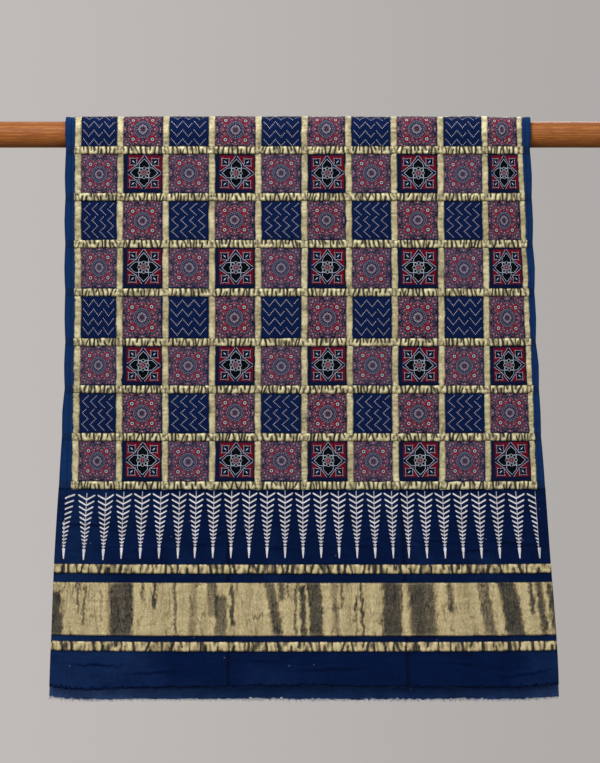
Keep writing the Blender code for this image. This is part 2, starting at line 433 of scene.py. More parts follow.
def dotted_indigo():
    """Indigo cotton with zigzags of resist dots: even dye, small pinkish-white dots, a few of them missed."""
    pitch, period, swing, spacing, reach = 2.1, 21.0, 11.8, 16.4, 33.0  # millimetres, as in every print
    material, tree, shader = finish_for("resist_dotted_indigo_cotton", 0.8, specular=0.06)
    place = add(tree, "SeparateXYZ", add(tree, "UVMap", uv_map="print"))
    x, y = place.outputs[0], place.outputs[1]
    cell = add(tree, "Math.ROUND", add(tree, "Math.DIVIDE", x, pitch))
    centre = add(tree, "Math.MULTIPLY", cell, pitch)
    wave = add(tree, "Math.PINGPONG", centre, period / 2)
    zigzag = add(tree, "Math.MULTIPLY_ADD", wave, 2 * swing / period, -swing / 2)
    from_line = add(tree, "Math.SUBTRACT", y, zigzag)
    line = add(tree, "Math.FLOOR", add(tree, "Math.DIVIDE", from_line, spacing))
    line_middle = add(tree, "Math.MULTIPLY_ADD", line, spacing, spacing / 2)
    chance = add(tree, "TexWhiteNoise", add(tree, "CombineXYZ", cell, line, 0.0), noise_dimensions="3D")
    shift = add(tree, "Math.MULTIPLY_ADD", chance, 0.3, -0.15)
    up = add(tree, "Math.ADD", add(tree, "Math.SUBTRACT", from_line, line_middle), shift)
    along = add(tree, "Math.SUBTRACT", x, centre)
    away = add(tree, "VectorMath.LENGTH", add(tree, "CombineXYZ", along, up, 0.0))
    dot = add(tree, "MapRange.SMOOTHSTEP", away, 0.86, 0.56, 0.0, 1.0)
    dot = add(tree, "Math.MULTIPLY", dot, add(tree, "Math.GREATER_THAN", chance, 0.04))
    for axis in (x, y):
        inside = add(tree, "Math.LESS_THAN", add(tree, "Math.ABSOLUTE", axis), reach)
        dot = add(tree, "Math.MULTIPLY", dot, inside)
    halo = add(tree, "MapRange.SMOOTHSTEP", away, 2.4, 1.1, 0.0, 0.4)
    woven(tree, shader, laid_over(tree, NAVY, ((halo, INDIGO_DEEP), (dot, DOT_WHITE))), 0.2, 0.5)
    return material


def medallion_print():
    """Madder and indigo block print, crowded with small cells round a beaded medallion; matt dyed cotton."""
    cell_size, eye_at, blob_at, bead_row, selvedge_at = 2.4, 18.2, 23.0, 2.45, 35.0
    spokes, petals = 24, 16
    material, tree, shader = finish_for("madder_medallion_block_print", 0.8, specular=0.06)
    place = add(tree, "SeparateXYZ", add(tree, "UVMap", uv_map="print"))
    x = add(tree, "Math.ABSOLUTE", place.outputs[0])
    y = add(tree, "Math.ABSOLUTE", place.outputs[1])
    longer = add(tree, "Math.MAXIMUM", x, y)
    shorter = add(tree, "Math.MINIMUM", x, y)
    folded = add(tree, "CombineXYZ", longer, shorter, 0.0)
    from_middle = add(tree, "VectorMath.LENGTH", folded)
    angle = add(tree, "Math.ARCTAN2", shorter, longer)

    def rings(distance, reach, stops):
        """Rings of flat colours round a place: where they are, and the colours."""
        colours = add(tree, "ValToRGB", add(tree, "Math.DIVIDE", distance, reach), stops=stops)
        colours.color_ramp.interpolation = "CONSTANT"
        return add(tree, "Math.LESS_THAN", distance, reach), colours

    cells = add(tree, "TexVoronoi", folded, 1 / cell_size, 0, 0.5, 2, 0.9, voronoi_dimensions="2D")
    pick = add(tree, "SeparateXYZ", cells.outputs["Color"]).outputs[0]
    swirl = add(tree, "TexNoise", folded, 0.2, 1, 0.5, noise_dimensions="2D")
    centred = add(tree, "Math.SUBTRACT", swirl, 0.5)
    crowd = add(
        tree,
        "ValToRGB",
        add(tree, "Math.MULTIPLY_ADD", centred, 1.1, pick),
        stops=(
            (0.00, "#10132a"),
            (0.16, "#58667c"),
            (0.31, "#170f22"),
            (0.44, "#941a2c"),
            (0.58, "#6c748a"),
            (0.68, "#2c0814"),
            (0.77, "#a42e38"),
            (0.86, "#0e1026"),
            (0.94, "#b09ea2"),
        ),
    )
    crowd.color_ramp.interpolation = "CONSTANT"
    between_cells = add(tree, "MapRange", cells.outputs["Distance"], 0.42, 0.60, 0.0, 0.75)
    flame = add(tree, "Math.COSINE", add(tree, "Math.MULTIPLY", angle, petals))
    flame_row = add(tree, "Math.COMPARE", from_middle, 19.4, 1.5)
    flames = add(tree, "Math.MULTIPLY", flame_row, add(tree, "Math.GREATER_THAN", flame, 0.1))

    around = add(tree, "Math.MULTIPLY", angle, spokes / (2 * math.pi))
    outward = add(tree, "Math.DIVIDE", from_middle, bead_row)
    polar = add(tree, "CombineXYZ", around, outward, 0.0)
    beads = add(tree, "TexVoronoi", polar, 1, 0, 0.5, 2, 0.35, voronoi_dimensions="2D")
    bead = add(tree, "Math.LESS_THAN", beads.outputs["Distance"], 0.35)
    in_wheel, bead_colour = rings(
        from_middle,
        16.6,
        (
            (0.00, "#8c3c48"),
            (0.12, "#191428"),
            (0.18, "#9a98a6"),
            (0.31, "#7c2c3c"),
            (0.40, "#a8a6b2"),
            (0.55, "#5c3c4e"),
            (0.66, "#707c96"),
            (0.84, "#84323e"),
        ),
    )
    wheel = add(tree, "Mix.RGBA", bead, "#15122a", bead_colour)
    layers = [(between_cells, "#191a30"), (flames, "#94182c"), (in_wheel, wheel)]
    for radius, width, line in (
        (6.6, 0.4, "#968c98"),
        (14.2, 0.5, "#1d1a30"),
        (15.4, 0.45, "#857e8c"),
        (16.8, 0.6, "#16152a"),
    ):
        layers.append((add(tree, "Math.COMPARE", from_middle, radius, width), line))

    side = add(tree, "Math.SUBTRACT", longer, blob_at)
    from_blob = add(tree, "VectorMath.LENGTH", add(tree, "CombineXYZ", side, shorter, 0.0))
    layers.append(rings(from_blob, 4.0, ((0.0, "#7f8da0"), (0.44, "#15162a"), (0.70, "#8f1c30"))))
    side = add(tree, "Math.SUBTRACT", x, eye_at)
    rise = add(tree, "Math.SUBTRACT", y, eye_at)
    from_eye = add(tree, "VectorMath.LENGTH", add(tree, "CombineXYZ", side, rise, 0.0))
    eye = ((0.0, "#0f1022"), (0.24, "#b4c1c8"), (0.45, "#0a0b1a"), (0.66, "#8a1828"))
    layers.append(rings(from_eye, 6.8, eye))

    below = add(tree, "Math.LESS_THAN", place.outputs[1], -selvedge_at)
    beside = add(tree, "Math.GREATER_THAN", place.outputs[0], selvedge_at)
    layers.append((add(tree, "Math.MAXIMUM", below, beside), "#0d1a40"))
    tone = add(tree, "Attribute", attribute_name="tone").outputs["Fac"]
    layers.append((add(tree, "Math.MULTIPLY", tone, 0.16), "#4a5470"))
    woven(tree, shader, laid_over(tree, crowd, layers), 0.14, 0.5)
    return material


def star_print():
    """Madder square in an indigo border with a white-outlined star, its petals nearly black; matt cotton."""
    half, slope, star_reach, line = 31.3, 0.725, 24.5, 0.29
    bead_ring, bead_size, bead_hole, corner_at, corner_reach = 8.4, 2.9, 2.42, (20.4, 20.6), 15.4
    white, black, navy = "#c9d1de", "#03060d", "#081534"
    material, tree, shader = finish_for("star_block_print_cotton", 0.8, specular=0.06)
    place = add(tree, "SeparateXYZ", add(tree, "UVMap", uv_map="print"))
    x = add(tree, "Math.ABSOLUTE", place.outputs[0])
    y = add(tree, "Math.ABSOLUTE", place.outputs[1])

    uneven = add(tree, "TexNoise", add(tree, "UVMap", uv_map="flat"), 0.35, 3, 0.6)
    madder = add(tree, "ValToRGB", uneven, stops=((0.35, "#4e0716"), (0.65, "#760f21")))
    right = add(tree, "Math.ABSOLUTE", add(tree, "Math.SUBTRACT", place.outputs[0], 0.8))
    up = add(tree, "Math.ABSOLUTE", add(tree, "Math.SUBTRACT", place.outputs[1], 1.2))
    farther = add(tree, "Math.MAXIMUM", right, up)
    frayed = add(tree, "Math.MULTIPLY_ADD", uneven, 2.4, farther)

    wide = add(tree, "Math.MULTIPLY_ADD", x, slope, y)
    tall = add(tree, "Math.MULTIPLY_ADD", y, slope, x)
    star = add(tree, "Math.MINIMUM", wide, tall)
    within = add(tree, "Math.ADD", farther, star_reach - half)
    ground = add(tree, "Math.MAXIMUM", star, within)
    outline = add(tree, "Math.COMPARE", star, star_reach, line * 1.1)
    outline = add(tree, "Math.MULTIPLY", outline, add(tree, "Math.LESS_THAN", farther, half))
    lenses = []
    for long_way, short_way in ((x, y), (y, x)):
        slanted = add(tree, "Math.MULTIPLY_ADD", long_way, 0.98, short_way)
        slanted = add(tree, "Math.MULTIPLY", add(tree, "Math.SUBTRACT", slanted, 25.4), 0.71)
        flank = add(tree, "Math.SUBTRACT", short_way, 9.3)
        lenses.append(add(tree, "Math.SMOOTH_MAX", slanted, flank, 3.0))
    petals = add(tree, "Math.MINIMUM", *lenses)
    layers = [
        (add(tree, "Math.LESS_THAN", frayed, half + 1.2), madder),
        (add(tree, "Math.LESS_THAN", ground, star_reach), navy),
        (outline, white),
        (add(tree, "Math.LESS_THAN", petals, 0.0), black),
        (add(tree, "Math.COMPARE", lenses[0], 0.0, line), white),
        (add(tree, "Math.COMPARE", lenses[1], 0.0, line), white),
    ]

    from_middle = add(tree, "VectorMath.LENGTH", add(tree, "CombineXYZ", x, y, 0.0))
    eighth = math.pi / 4
    angle = add(tree, "Math.ARCTAN2", place.outputs[1], place.outputs[0])
    shifted = add(tree, "Math.ADD", angle, 2 * math.pi + eighth / 2)
    turn = add(tree, "Math.SUBTRACT", add(tree, "Math.MODULO", shifted, eighth), eighth / 2)
    out = add(tree, "Math.MULTIPLY", from_middle, add(tree, "Math.COSINE", turn))
    aside = add(tree, "Math.MULTIPLY", from_middle, add(tree, "Math.SINE", turn))
    out = add(tree, "Math.SUBTRACT", out, bead_ring)
    bead = add(tree, "VectorMath.LENGTH", add(tree, "CombineXYZ", out, aside, 0.0))
    heart = add(
        tree,
        "ValToRGB",
        add(tree, "Math.DIVIDE", from_middle, 5),
        stops=((0.0, "#b9a2b4"), (0.20, black), (0.38, "#9c1a2e"), (0.66, black), (0.82, "#b4a8b8")),
    )
    heart.color_ramp.interpolation = "CONSTANT"

    side = add(tree, "Math.SUBTRACT", x, corner_at[0])
    rise = add(tree, "Math.SUBTRACT", y, corner_at[1])
    along = add(tree, "Math.ABSOLUTE", add(tree, "Math.ADD", side, rise))
    athwart = add(tree, "Math.ABSOLUTE", add(tree, "Math.SUBTRACT", side, rise))
    rays = [
        add(tree, "Math.POWER", add(tree, "Math.DIVIDE", ray, corner_reach), 0.78) for ray in (along, athwart)
    ]
    scallop = add(tree, "Math.MULTIPLY", add(tree, "Math.SUBTRACT", along, athwart), 1.9)
    corner = add(tree, "Math.ADD", *rays)
    corner = add(tree, "Math.MULTIPLY_ADD", add(tree, "Math.SINE", scallop), 0.05, corner)
    drop = add(tree, "Math.MULTIPLY_ADD", along, 0.30, athwart)
    layers.append((add(tree, "Math.LESS_THAN", bead, bead_size), white))
    layers.append((add(tree, "Math.LESS_THAN", from_middle, 6.4), black))
    for distance, reach, colour in (
        (bead, bead_size, white),
        (bead, bead_hole, black),
        (from_middle, 4.6, heart),
        (corner, 1.0, white),
        (corner, 0.945, navy),
    ):
        layers.append((add(tree, "Math.LESS_THAN", distance, reach), colour))
    layers.append((add(tree, "Math.COMPARE", corner, 0.66, 0.10), black))
    layers.append((add(tree, "Math.LESS_THAN", drop, 1.6), "#a9bfce"))
    woven(tree, shader, laid_over(tree, navy, layers), 0.14, 0.5)
    return material


PRINTS = [dotted_indigo(), medallion_print(), star_print()]
DOTTED, MEDALLION, STAR = range(3)


def patch_grid(row, column, way, columns, rows):
    """The grid of one patch. Rows count down from the middle strip and columns from the left."""
    random = np.random.default_rng([row, column, way > 0])
    if row % 2 == 1:
        kind = DOTTED if column % 2 == 0 else MEDALLION
    else:
        kind = MEDALLION if column % 2 == 0 else STAR
    upright = kind == DOTTED and row % 4 == 3
    slide_x, slide_y, twist = random.uniform(-1, 1, 3) * (PRINT_SLIDE, PRINT_SLIDE, PRINT_TWIST)
    if kind == STAR:
        slide_x, slide_y = slide_x * 0.4 + STAR_SLIDE[0], slide_y * 0.4 + STAR_SLIDE[1]
    if row == 1 and way > 0:
        slide_y += CREST_SLIDE
    phase = random.uniform(0, 9)
    tone = random.uniform(0.0, 0.35) + (0.65 if row % 2 == 0 else 0.0)
    start = GATHERS[row - 1] + GATHER_WIDTH / 2
    end = GATHERS[row] - GATHER_WIDTH / 2
    under = SEAM_TURNING / (end - start)

    def place(across, down):
        """Down the grid runs from the front hem's side to the back hem's, so that its faces point out."""
        share = (1 - down if way > 0 else down) * (1 + 2 * under) - under
        run = way * (start + share * (end - start))
        left = upright_x(column, run) + UPRIGHTS[column].width / 2
        right = upright_x(column + 1, run) - UPRIGHTS[column + 1].width / 2
        x = left - SEAM_TURNING + across * (right - left + 2 * SEAM_TURNING)
        u = 2 * (x - left) / (right - left) - 1
        v = 1 - 2 * share
        puff = PATCH_PUFF * np.clip(1 - u**2, 0, 1) ** 0.6 * np.clip(1 - v**2, 0, 1) ** 0.6
        gathered = np.clip(np.abs(v), 0, 1) ** 4 * np.clip(1 - u**2, 0, 1) ** 0.3
        ripple = np.sin(2 * math.pi * x / PUCKER_LENGTH + phase + 1.6 * wander(x, run, 0.03, row))
        buckle = PATCH_BUCKLE * wander(x, run, 0.045, 40 + row)
        lift = PATCH_LIFT + puff + PUCKER * gathered * ripple + buckle
        print_x = u * PATCH_HALF * math.cos(twist) - v * PATCH_HALF * math.sin(twist) + slide_x
        print_y = v * PATCH_HALF * math.cos(twist) + u * PATCH_HALF * math.sin(twist) + slide_y
        if upright:
            print_x, print_y = print_y, print_x
        return run, x, lift, (print_x, print_y), tone

    return columns, rows, kind, place


for side_name, way, density, blocks in (
    ("front", 1, (28, 14), ((0, 3), (3, 6), (6, 10))),
    ("back", -1, (16, 10), ((0, 5), (5, 10))),
):
    for row in range(1, len(GATHERS)):
        for first, past in blocks:
            grids = [patch_grid(row, column, way, *density) for column in range(first, past)]
            name = f"patches_{side_name}_row_{row}_{first + 1}_to_{past}"
            block = cloth(name, grids, PRINTS, PATCH_THICKNESS)
            if way > 0 and row == 1 and first == 0:
                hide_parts("patchwork_field")


# ---- Gold strips
# Zari tissue, woven of flat gold thread over a dark warp: the upright strips are sewn in flat, and the level
# ones are gathered into pleats between hollows. Their colour is painted light from the tone attribute:
# painted highlights on the pleats, and painted shade in the hollows and along the sewn edges.
ZARI_DARK = "#22221f"
ZARI_SHADE = "#67614e"
ZARI_MID = "#b4a67b"
ZARI_LIGHT = "#eadfb0"
STRIP_THICKNESS = 0.0005
UPRIGHT_LIFT = 0.0012
GATHER_LIFT = 0.0013
PLEAT_HEIGHT = 0.0021
PLEAT_WIDTHS = (0.0024, 0.0076)
PLEAT_ROUNDING = 0.0014
HOLLOW_WIDTHS = (0.0009, 0.0032)
SLANT = 0.0015  # how far a hollow usually leans, from its middle to its end
PLEATED_LENGTH = 0.86  # a little more than a strip's, so that the pleats fill it
STRIP_OVERLAP = 0.0005
PINCHED_NEAR = 0.016  # an upright strip is creased this near to a gathered one


def zari_tissue(name, grain, creased, crumpled, roughness, metallic, tarnish="#ffffff"):
    """Zari tissue, crumpled, its colour painted from the tone attribute: a pale gold painted highlight where
    it faces out and nearly black painted shade in the hollows, with noise for painted glints and the painted
    shade of its crumples, and painted shade along creases as much as creased asks. grain is the size of a
    glint in millimetres, coarser than the real thread so that it shows."""
    material, tree, shader = finish_for(name, roughness, metallic, specular=0.5)
    flat = add(tree, "UVMap", uv_map="flat")
    tone = add(tree, "Attribute", attribute_name="tone").outputs["Fac"]
    glitter = add(tree, "TexNoise", flat, 1 / grain, 2, 0.7)
    upright = add(tree, "Mapping", flat, None, None, (1, 0.6, 1))
    crumple = add(tree, "TexNoise", upright, 0.28, 3, 0.6, 2, 0.8)
    uneven = add(tree, "Math.SUBTRACT", add(tree, "Math.ADD", glitter, crumple), 1.0)
    toned = add(tree, "Math.MULTIPLY_ADD", uneven, 0.75, tone)
    leaning = add(tree, "Mapping", flat, None, (0, 0, 0.15), (1, 0.22, 1))
    long_way = add(tree, "TexNoise", leaning, 0.075, 1, 0.5, 2, 0.4)
    from_middle = add(tree, "Math.ABSOLUTE", add(tree, "Math.SUBTRACT", long_way, 0.5))
    # painted shade along long leaning creases, only in some patches
    crease = add(tree, "MapRange.SMOOTHSTEP", from_middle, 0.05, 0.0, 0.0, creased)
    where = add(tree, "TexNoise", add(tree, "Mapping", flat, None, None, (1, 0.7, 1)), 0.03, 1, 0.5)
    crease = add(tree, "Math.MULTIPLY", crease, add(tree, "MapRange", where, 0.42, 0.6, 0.0, 1.0))
    toned = add(tree, "Math.SUBTRACT", toned, crease)
    # the ramp runs from nearly black painted shade to a pale gold painted highlight
    gold = ((0.02, ZARI_DARK), (0.34, ZARI_SHADE), (0.66, ZARI_MID), (1.0, ZARI_LIGHT))
    colour = add(tree, "ValToRGB", toned, stops=gold)
    tarnished = add(tree, "Mix.RGBA", 1.0, colour, tarnish, blend_type="MULTIPLY")
    feed(tree, shader.inputs["Base Color"], tarnished)
    relief = add(tree, "Math.MULTIPLY_ADD", glitter, 0.4, crumple)
    relief = add(tree, "Math.SUBTRACT", relief, crease)
    relief = add(tree, "Math.MULTIPLY", relief, crumpled)
    relief = add(tree, "Math.MULTIPLY_ADD", tone, 1.4, relief)
    feed(tree, shader.inputs["Normal"], add(tree, "Bump", 0.7, 0.0012, None, relief))
    return material


GATHERED_ZARI = zari_tissue("gathered_gold_zari_tissue", 1.1, 0.0, 0.8, 0.42, 0.35)
FLAT_ZARI = zari_tissue("flat_gold_zari_tissue", 1.1, 0.0, 0.4, 0.5, 0.25)


def pleated(seed, along, v, length, pleat_widths, hollow_widths, slant):
    """Height and tone, about 0 to 1, of a gathered strip at places along it and v, -1 to 1, across it. Its
    pleats are parted by dark hollows that lean and bend, and some of them end half-way. The tone is painted
    light: painted shade in the hollows, and painted highlights on the pleats' crests, stronger on some pleats
    than on others."""
    random = np.random.default_rng(seed)
    centre = -0.005
    dark = np.zeros(along.shape)
    nearest = np.full(along.shape, 0.01)
    # how strong the painted highlight is, wandering from pleat to pleat
    light = 0.5 + 0.5 * wander(along, 0.004 * v, 0.011, int(random.integers(9999)))
    while centre < length + 0.005:
        half = random.uniform(*hollow_widths) / 2
        lean, bend = random.normal(0, slant, 2) * (1, 0.4)
        start, end = random.choice(((-1.8, 1.8), (-1.8, 1.8), (-1.8, 1.8), (-1.8, 0.6), (-0.6, 1.8)))
        there = ease((v - start) / 0.7) * ease((end - v) / 0.7)
        away = np.abs(along - centre - lean * v - bend * v * v)
        dark = np.maximum(dark, there * ease((half + 0.0005 - away) / 0.0008))
        nearest = np.minimum(nearest, away + (1 - there) * 0.003)
        centre += 2 * half + random.uniform(*pleat_widths)
    height = 1 - np.exp(-nearest / PLEAT_ROUNDING)
    # painted highlight rising to the crests, painted shade in the hollows
    tone = (0.27 + 0.26 * height + 0.76 * light * height) * (1 - dark) + 0.01 * dark
    return height, tone


def gathered_grid(number, way, columns, rows):
    """The grid of one gathered strip, from side border to side border."""
    seed = [number, 7, way > 0]
    middle = way * GATHERS[number]

    def place(across, down):
        v = 2 * down - 1
        run = middle - v * GATHER_WIDTH / 2
        left = upright_x(0, run) - UPRIGHTS[0].width / 2 - STRIP_OVERLAP
        right = upright_x(len(UPRIGHTS) - 1, run) + UPRIGHTS[-1].width / 2 + STRIP_OVERLAP
        x = left + across * (right - left)
        along = across * (UPRIGHTS[-1].top - UPRIGHTS[0].top)
        height, tone = pleated(seed, along, v, PLEATED_LENGTH, PLEAT_WIDTHS, HOLLOW_WIDTHS, SLANT)
        knot = 0  # 1 where an upright strip is caught in the gathers and crushes them
        for upright in range(len(UPRIGHTS)):
            away = np.abs(x - upright_x(upright, run)) / (UPRIGHTS[upright].width / 2)
            knot = np.maximum(knot, ease((1.25 - away) / 0.5))
        crush = 0.5 + 0.5 * wander(x, run, 0.010, number + 60)
        height = height * (1 - 0.45 * knot) + 0.45 * knot * crush
        tone = tone * (1 - 0.6 * knot) + 0.6 * knot * (0.42 + 0.56 * crush)
        sewn = np.clip(1 - v**6, 0, 1)
        run = run + 0.0005 * wander(x, 0 * x, 0.02, number) * np.abs(v) ** 3
        lift = GATHER_LIFT + PLEAT_HEIGHT * height * (0.35 + 0.65 * sewn)
        # painted shade along both sewn edges, where the strip turns down into its seam
        tone = tone - 0.18 * (1 - sewn)
        return run, x, lift, (across * 1000, v), tone

    return columns, rows, 0, place


def upright_grid(number, way, columns, rows):
    """The grid of one upright strip, from the end of the patchwork up to the top of the rod."""
    seed = number * 2 + (way > 0)

    def place(across, down):
        share = 1 - down if way > 0 else down
        run = way * PATCHWORK_END * share
        level = np.interp(np.abs(run), GATHERS, range(len(GATHERS)))
        to_gather = np.abs(level - np.rint(level)) * 0.09
        pinch = np.exp(-((to_gather / PINCHED_NEAR) ** 2))
        u = 2 * across - 1
        waver = 0.0005 * wander(run, 0 * run, 0.05, seed)
        waver = waver + 0.0003 * wander(run, 0 * run, 0.014, seed + 50)
        half = UPRIGHTS[number].width / 2 * (1 - 0.07 * pinch)
        x = upright_x(number, run) + u * half + waver
        crease = wander(x * 0.25, run, 0.006, seed + 90)
        crinkle = wander(x, run, 0.012, seed + 130)
        roll = np.clip(1 - u**6, 0, 1)
        lift = UPRIGHT_LIFT * (0.35 + 0.65 * roll) + 0.00022 * crease + 0.0006 * pinch * crinkle
        dull = 0.13 * wander(x * 0.5, run, 0.045, seed + 170)
        # lighter where creases and crinkles stand up and darker at the rolled edges: painted light and shade;
        # dull makes broad random patches dimmer
        tone = 0.74 + 0.12 * crease + 0.18 * pinch * crinkle - 0.22 * (1 - roll) + dull
        return run, x, lift, (u, run * 1000), tone

    return columns, rows, 0, place


for side_name, way, density in (("front", 1, (6, 210)), ("back", -1, (4, 110))):
    grids = [upright_grid(number, way, *density) for number in range(len(UPRIGHTS))]
    name = f"upright_gold_strips_{side_name}"
    uprights = cloth(name, grids, [FLAT_ZARI], STRIP_THICKNESS)
for side_name, way, density, numbers in (
    ("front_upper", 1, (760, 6), range(0, 5)),
    ("front_lower", 1, (760, 6), range(5, 9)),
    ("back", -1, (320, 5), range(1, 9)),
):
    grids = [gathered_grid(number, way, *density) for number in numbers]
    name = f"gathered_gold_strips_{side_name}"
    gathers = cloth(name, grids, [GATHERED_ZARI], STRIP_THICKNESS)


# ---- Side borders
# A narrow blue cotton strip down each side, folded over at its outer edge. A darker piece crosses it at each
# gathered strip, held by a row of running stitches above and below, and draws the edge in a little.
BORDER_BLUE = "#0f2f5c"
BORDER_NAVY = "#10203e"
BORDER_THICKNESS = 0.0012
CROSSING_HALF = 7.9  # millimetres
DRAWN_IN = 0.0004
BORDER_TURNING = 0.002  # how far a border reaches under the strip beside it


def border_cotton():
    """Blue cotton, darker over its folded edge, with painted shade along its seam, and with navy crossings
    and stitches.
    """
    material, tree, shader = finish_for("blue_border_cotton", 0.76, specular=0.06)
    place = add(tree, "SeparateXYZ", add(tree, "UVMap", uv_map="print"))
    across, from_gather = place.outputs[0], place.outputs[1]
    away = add(tree, "Math.ABSOLUTE", from_gather)
    fold = add(tree, "MapRange", across, 0.86, 0.97, 0.0, 1.0)
    crossing = add(tree, "MapRange", away, CROSSING_HALF + 0.6, CROSSING_HALF - 0.6, 0.0, 0.5)
    # painted shade along the seam beside the raised gold strip
    seam = add(tree, "Math.MULTIPLY", add(tree, "MapRange", across, 0.10, 0.0, 0.0, 1.0), 0.6)
    ridge = add(tree, "Math.MULTIPLY", add(tree, "Math.COMPARE", across, 0.42, 0.05), 0.5)
    stitch_line = add(tree, "Math.COMPARE", away, CROSSING_HALF - 0.4, 0.45)
    dash = add(tree, "Math.FLOORED_MODULO", add(tree, "Math.MULTIPLY", across, 5.5), 1)
    stitched = add(tree, "Math.MULTIPLY", stitch_line, add(tree, "Math.LESS_THAN", dash, 0.58))
    layers = (
        (fold, "#0a2450"),
        (crossing, BORDER_NAVY),
        (seam, "#081a3c"),
        (ridge, "#0a142e"),
        (add(tree, "Math.MULTIPLY", stitched, 0.6), "#14161c"),
    )
    woven(tree, shader, laid_over(tree, BORDER_BLUE, layers), 0.2, 0.6)
    return material


def border_grid(right_side, columns, rows):
    """The grid of one side border, from the front end panel over the rod to the back one."""

    def place(across, down):
        run = PATCHWORK_END * (1 - 2 * down)
        level = np.interp(np.abs(run), GATHERS, range(len(GATHERS)))
        nearest = np.array(GATHERS)[np.rint(level).astype(int)]
        from_gather = np.abs(run) - nearest
        pull = DRAWN_IN * np.exp(-((from_gather / 0.012) ** 2))
        left, right = sides(run)
        if right_side:
            inner = upright_x(len(UPRIGHTS) - 1, run) + UPRIGHTS[-1].width / 2 - BORDER_TURNING
            outer = right - pull
            x = inner + across * (outer - inner)
            outward = across
        else:
            inner = upright_x(0, run) - UPRIGHTS[0].width / 2 + BORDER_TURNING
            outer = left + pull
            x = outer + across * (inner - outer)
            outward = 1 - across
        ripple = wander(x, run, 0.03, 11 + right_side)
        fold = 0.0005 * np.clip(outward - 0.55, 0, 0.2) * 5
        crossing = 0.0006 * ease((0.0085 - np.abs(from_gather)) / 0.002)
        lift = 0.0004 + fold + crossing + 0.0004 * ripple - 0.0008 * ease((outward - 0.9) / 0.1)
        return run, x, lift, (outward, from_gather * 1000), 0.5

    return columns, rows, 0, place


BORDER_COTTON = border_cotton()
for side_name, right_side in (("left", False), ("right", True)):
    grid = border_grid(right_side, 8, 420)
    name = f"blue_side_border_{side_name}"
    border = cloth(name, [grid], [BORDER_COTTON], BORDER_THICKNESS)
    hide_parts(f"side_border_{side_name}")


# ---- End panels
# Navy cotton seamed to the patchwork, block-printed with a row of hanging leaf sprays and left raw at the
# hem. It keeps two pressed creases from its time on the shelf, and many short, shallow wrinkles; painted
# shade darkens the creases and the wrinkles' lower flanks, and a painted shadow lines the front hem. The back
# hem's last strip is paler, partly bleached and partly painted light.
PANEL_NAVY = "#04163b"
PANEL_WASHED = "#142b52"
# the colour of the panel's painted shade, in its creases, on its wrinkles' lower flanks and along the front
# hem
PANEL_PAINTED_SHADE = "#020a20"
# partly bleached, partly painted light that lifts the shadow of the front hem
PANEL_BLEACHED_AND_PAINTED_LIGHT = "#304772"
LEAF_WHITE = "#dcd6d9"
PANEL_THICKNESS = 0.0010
PANEL_LIFT = -0.0002
PANEL_OVERLAP = 0.0030  # under the last gathered strip
PANEL_ROWS = (  # shares of the mesh rows, and the runs they reach
    (0.00, PATCHWORK_END - PANEL_OVERLAP),
    (0.58, BANDS[0].start),
    (0.71, BANDS[-1].end),
    (1.00, HEM),
)
PRESSED_CREASES = (0.351, 0.704)
CREASE_WIDTH = 0.0030  # a share of the width, as are the places across
Spray = namedtuple("Spray", "number across lower")
SPRAYS = (  # the print was stamped with several blocks side by side; lower is how far down it landed
    Spray(0, 0.0191, 3.0),
    Spray(1, 0.0590, 4.5),
    Spray(2, 0.0983, 4.2),
    Spray(3, 0.1346, 1.5),
    Spray(6, 0.2490, 0.8),
    Spray(7, 0.2830, 0.0),
    Spray(12, 0.4653, -0.6),
    Spray(18, 0.6838, 0.2),
    Spray(19, 0.7151, 0.0),
    Spray(24, 0.8985, 1.2),
    Spray(26, 0.9788, 2.0),
)
SPRAY_PITCH = 34.2  # millimetres
SPRAYS_ACROSS = 27
Wrinkle = namedtuple("Wrinkle", "across run length lean depth")
WRINKLES = (  # length is a share of the width
    Wrinkle(0.060, 0.800, 0.050, 0.05, 0.0006),
    Wrinkle(0.110, 0.812, 0.036, -0.10, 0.0005),
    Wrinkle(0.185, 0.806, 0.040, 0.12, 0.0006),
    Wrinkle(0.245, 0.822, 0.030, 0.20, 0.0007),
    Wrinkle(0.290, 0.838, 0.034, 0.10, 0.0006),
    Wrinkle(0.330, 0.818, 0.028, -0.35, 0.0007),
    Wrinkle(0.455, 0.846, 0.060, 0.08, 0.0006),
    Wrinkle(0.540, 0.815, 0.040, -0.15, 0.0005),
    Wrinkle(0.640, 0.842, 0.050, 0.10, 0.0006),
    Wrinkle(0.765, 0.832, 0.070, 0.06, 0.0007),
    Wrinkle(0.850, 0.850, 0.060, -0.05, 0.0007),
    Wrinkle(0.930, 0.836, 0.070, 0.12, 0.0008),
    Wrinkle(0.090, 1.066, 0.080, 0.05, 0.0007),
    Wrinkle(0.220, 1.080, 0.100, -0.04, 0.0006),
    Wrinkle(0.410, 1.060, 0.070, 0.06, 0.0006),
    Wrinkle(0.560, 1.076, 0.110, -0.03, 0.0007),
    Wrinkle(0.800, 1.064, 0.090, 0.08, 0.0007),
    Wrinkle(0.930, 1.086, 0.080, -0.12, 0.0006),
)


